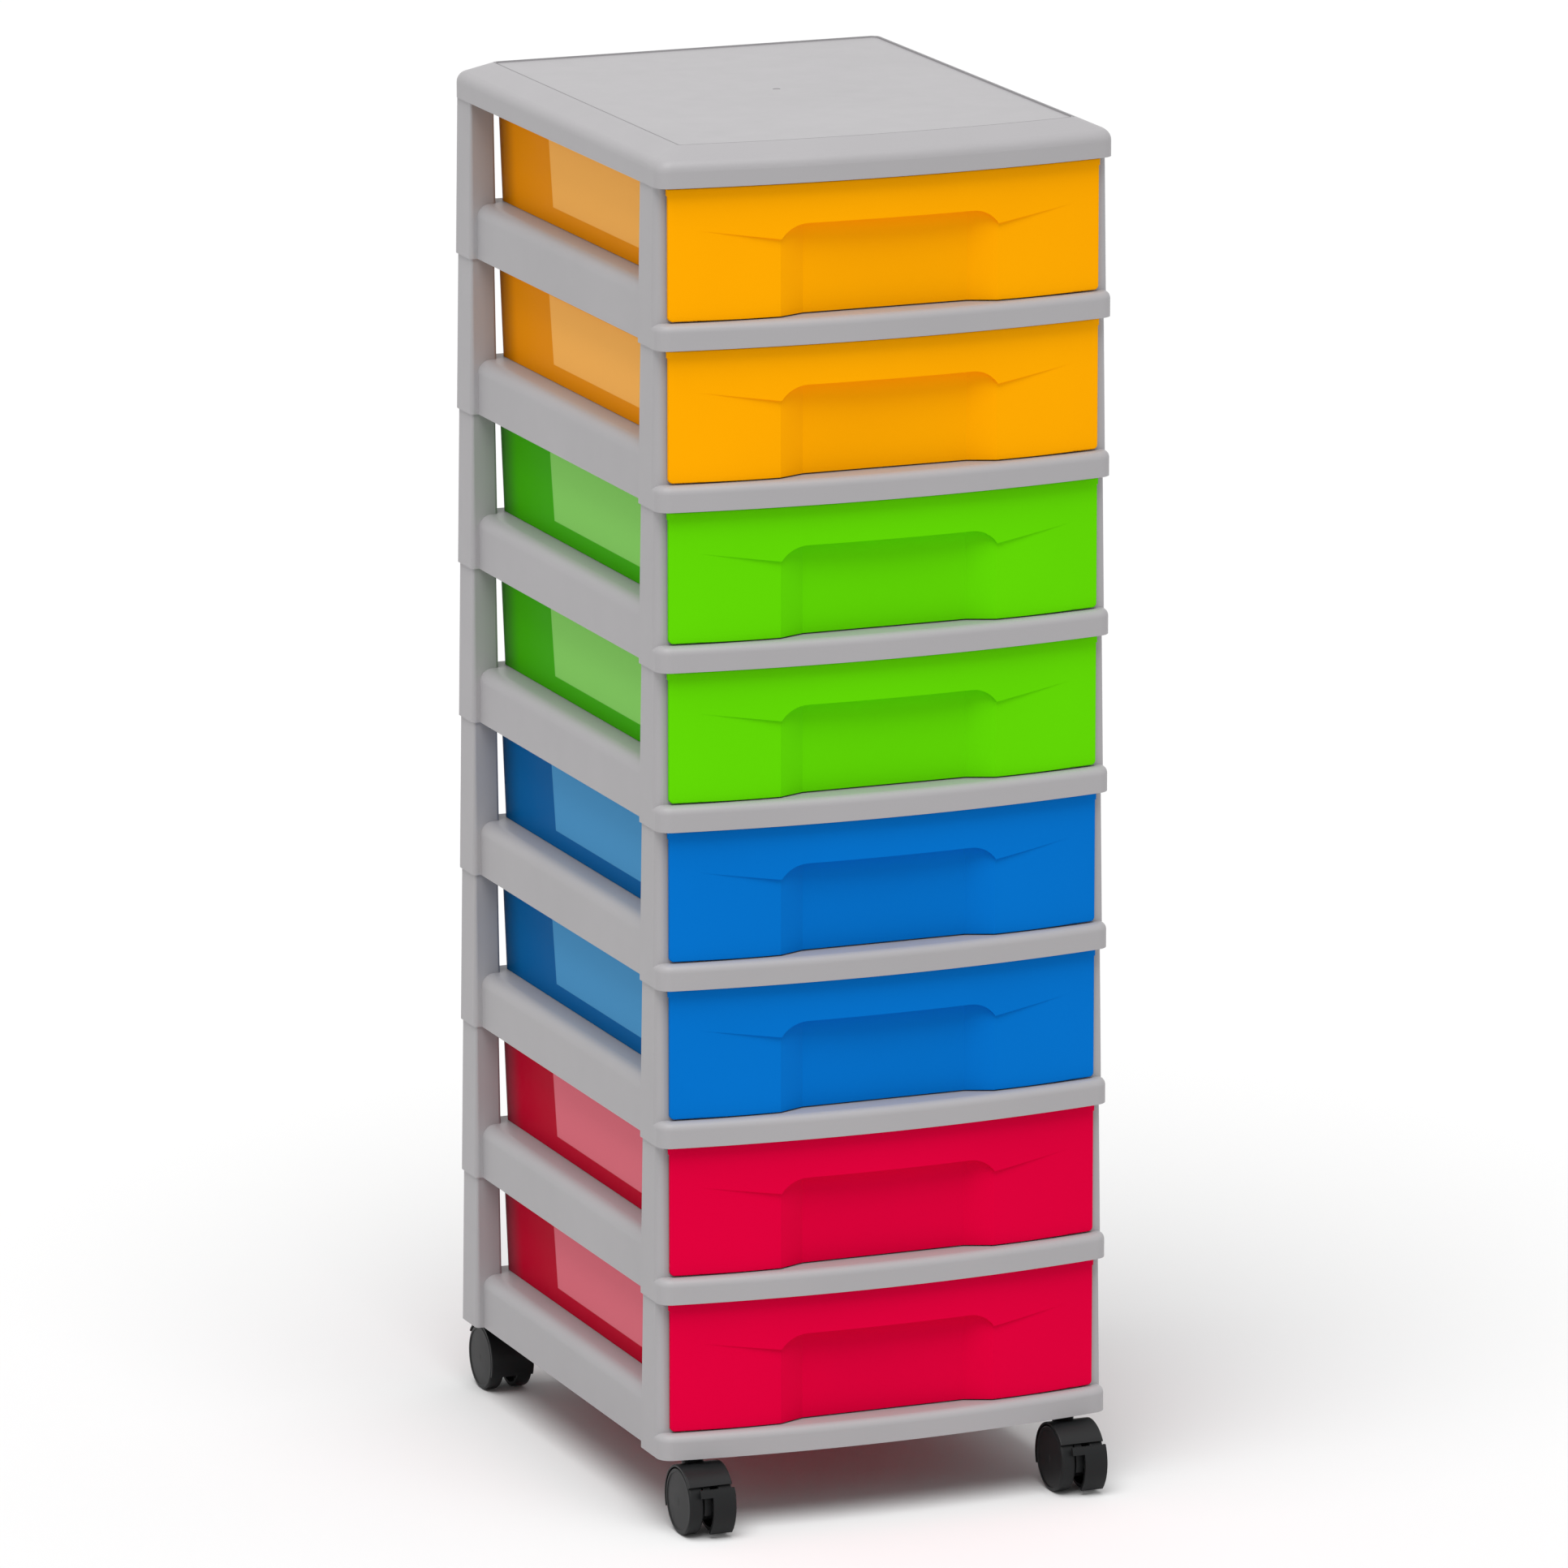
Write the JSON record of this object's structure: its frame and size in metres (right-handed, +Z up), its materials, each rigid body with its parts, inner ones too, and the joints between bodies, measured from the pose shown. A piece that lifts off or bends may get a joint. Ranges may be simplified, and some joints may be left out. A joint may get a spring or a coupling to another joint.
{
  "type": "drawer tower",
  "caption": "Tall narrow drawer tower of stacked frames with coloured bow-fronted drawers and recessed grips, a plain top cover and twin wheel castors.",
  "frame": {"origin": "on the floor, under the middle of the box round the whole part", "axes": "+X to the right across the drawer fronts, +Y from the front to the back, +Z up"},
  "size_m": [0.322, 0.4238, 0.932],
  "materials": {
    "frame_grey": "satin",
    "drawer_orange": "gloss",
    "drawer_green": "gloss",
    "drawer_blue": "gloss",
    "drawer_red": "gloss",
    "castor_black": "matte",
    "castor_steel": "satin"
  },
  "bodies": {
    "tower": {"top_cover": "frame_grey", "frame_1": "frame_grey", "frame_2": "frame_grey", "frame_3": "frame_grey", "frame_4": "frame_grey", "frame_5": "frame_grey", "frame_6": "frame_grey", "frame_7": "frame_grey", "frame_8": "frame_grey", "front_left_castor_stem": "castor_steel", "front_right_castor_stem": "castor_steel", "rear_left_castor_stem": "castor_steel", "rear_right_castor_stem": "castor_steel"},
    "drawer_1": {"drawer_1": "drawer_orange"},
    "drawer_2": {"drawer_2": "drawer_orange"},
    "drawer_3": {"drawer_3": "drawer_green"},
    "drawer_4": {"drawer_4": "drawer_green"},
    "drawer_5": {"drawer_5": "drawer_blue"},
    "drawer_6": {"drawer_6": "drawer_blue"},
    "drawer_7": {"drawer_7": "drawer_red"},
    "drawer_8": {"drawer_8": "drawer_red"},
    "front_left_castor": {"front_left_castor_hood": "castor_black", "front_left_castor_axle": "castor_steel"},
    "front_left_castor_left_wheel": {"front_left_castor_left_wheel": "castor_black"},
    "front_left_castor_right_wheel": {"front_left_castor_right_wheel": "castor_black"},
    "front_left_castor_brake_lever": {"front_left_castor_brake_lever": "castor_black"},
    "front_right_castor": {"front_right_castor_hood": "castor_black", "front_right_castor_axle": "castor_steel"},
    "front_right_castor_left_wheel": {"front_right_castor_left_wheel": "castor_black"},
    "front_right_castor_right_wheel": {"front_right_castor_right_wheel": "castor_black"},
    "front_right_castor_brake_lever": {"front_right_castor_brake_lever": "castor_black"},
    "rear_left_castor": {"rear_left_castor_hood": "castor_black", "rear_left_castor_axle": "castor_steel"},
    "rear_left_castor_left_wheel": {"rear_left_castor_left_wheel": "castor_black"},
    "rear_left_castor_right_wheel": {"rear_left_castor_right_wheel": "castor_black"},
    "rear_right_castor": {"rear_right_castor_hood": "castor_black", "rear_right_castor_axle": "castor_steel"},
    "rear_right_castor_left_wheel": {"rear_right_castor_left_wheel": "castor_black"},
    "rear_right_castor_right_wheel": {"rear_right_castor_right_wheel": "castor_black"}
  },
  "joints": [
    {"name": "drawer_1_slide", "type": "slide", "parent": "tower", "child": "drawer_1", "axis": [0, -1, 0], "range_m": [0, 0.27]},
    {"name": "drawer_2_slide", "type": "slide", "parent": "tower", "child": "drawer_2", "axis": [0, -1, 0], "range_m": [0, 0.27]},
    {"name": "drawer_3_slide", "type": "slide", "parent": "tower", "child": "drawer_3", "axis": [0, -1, 0], "range_m": [0, 0.27]},
    {"name": "drawer_4_slide", "type": "slide", "parent": "tower", "child": "drawer_4", "axis": [0, -1, 0], "range_m": [0, 0.27]},
    {"name": "drawer_5_slide", "type": "slide", "parent": "tower", "child": "drawer_5", "axis": [0, -1, 0], "range_m": [0, 0.27]},
    {"name": "drawer_6_slide", "type": "slide", "parent": "tower", "child": "drawer_6", "axis": [0, -1, 0], "range_m": [0, 0.27]},
    {"name": "drawer_7_slide", "type": "slide", "parent": "tower", "child": "drawer_7", "axis": [0, -1, 0], "range_m": [0, 0.27]},
    {"name": "drawer_8_slide", "type": "slide", "parent": "tower", "child": "drawer_8", "axis": [0, -1, 0], "range_m": [0, 0.27]},
    {"name": "front_left_castor_swivel", "type": "hinge", "parent": "tower", "child": "front_left_castor", "pos_m": [-0.134, -0.1716, 0.045], "axis": [0, 0, 1], "continuous": true},
    {"name": "front_left_castor_left_wheel_spin", "type": "hinge", "parent": "front_left_castor", "child": "front_left_castor_left_wheel", "pos_m": [-0.134, -0.1846, 0.0225], "axis": [1, 0, 0], "continuous": true},
    {"name": "front_left_castor_right_wheel_spin", "type": "hinge", "parent": "front_left_castor", "child": "front_left_castor_right_wheel", "pos_m": [-0.134, -0.1846, 0.0225], "axis": [1, 0, 0], "continuous": true},
    {"name": "front_left_castor_brake_lever_pivot", "type": "hinge", "parent": "front_left_castor", "child": "front_left_castor_brake_lever", "pos_m": [-0.134, -0.2036, 0.0225], "axis": [-1, 0, 0], "range_deg": [0, 12]},
    {"name": "front_right_castor_swivel", "type": "hinge", "parent": "tower", "child": "front_right_castor", "pos_m": [0.134, -0.1716, 0.045], "axis": [0, 0, 1], "continuous": true},
    {"name": "front_right_castor_left_wheel_spin", "type": "hinge", "parent": "front_right_castor", "child": "front_right_castor_left_wheel", "pos_m": [0.134, -0.1846, 0.0225], "axis": [1, 0, 0], "continuous": true},
    {"name": "front_right_castor_right_wheel_spin", "type": "hinge", "parent": "front_right_castor", "child": "front_right_castor_right_wheel", "pos_m": [0.134, -0.1846, 0.0225], "axis": [1, 0, 0], "continuous": true},
    {"name": "front_right_castor_brake_lever_pivot", "type": "hinge", "parent": "front_right_castor", "child": "front_right_castor_brake_lever", "pos_m": [0.134, -0.2036, 0.0225], "axis": [-1, 0, 0], "range_deg": [0, 12]},
    {"name": "rear_left_castor_swivel", "type": "hinge", "parent": "tower", "child": "rear_left_castor", "pos_m": [-0.134, 0.1764, 0.045], "axis": [0, 0, 1], "continuous": true},
    {"name": "rear_left_castor_left_wheel_spin", "type": "hinge", "parent": "rear_left_castor", "child": "rear_left_castor_left_wheel", "pos_m": [-0.134, 0.1894, 0.0225], "axis": [1, 0, 0], "continuous": true},
    {"name": "rear_left_castor_right_wheel_spin", "type": "hinge", "parent": "rear_left_castor", "child": "rear_left_castor_right_wheel", "pos_m": [-0.134, 0.1894, 0.0225], "axis": [1, 0, 0], "continuous": true},
    {"name": "rear_right_castor_swivel", "type": "hinge", "parent": "tower", "child": "rear_right_castor", "pos_m": [0.134, 0.1764, 0.045], "axis": [0, 0, 1], "continuous": true},
    {"name": "rear_right_castor_left_wheel_spin", "type": "hinge", "parent": "rear_right_castor", "child": "rear_right_castor_left_wheel", "pos_m": [0.134, 0.1894, 0.0225], "axis": [1, 0, 0], "continuous": true},
    {"name": "rear_right_castor_right_wheel_spin", "type": "hinge", "parent": "rear_right_castor", "child": "rear_right_castor_right_wheel", "pos_m": [0.134, 0.1894, 0.0225], "axis": [1, 0, 0], "continuous": true}
  ]
}
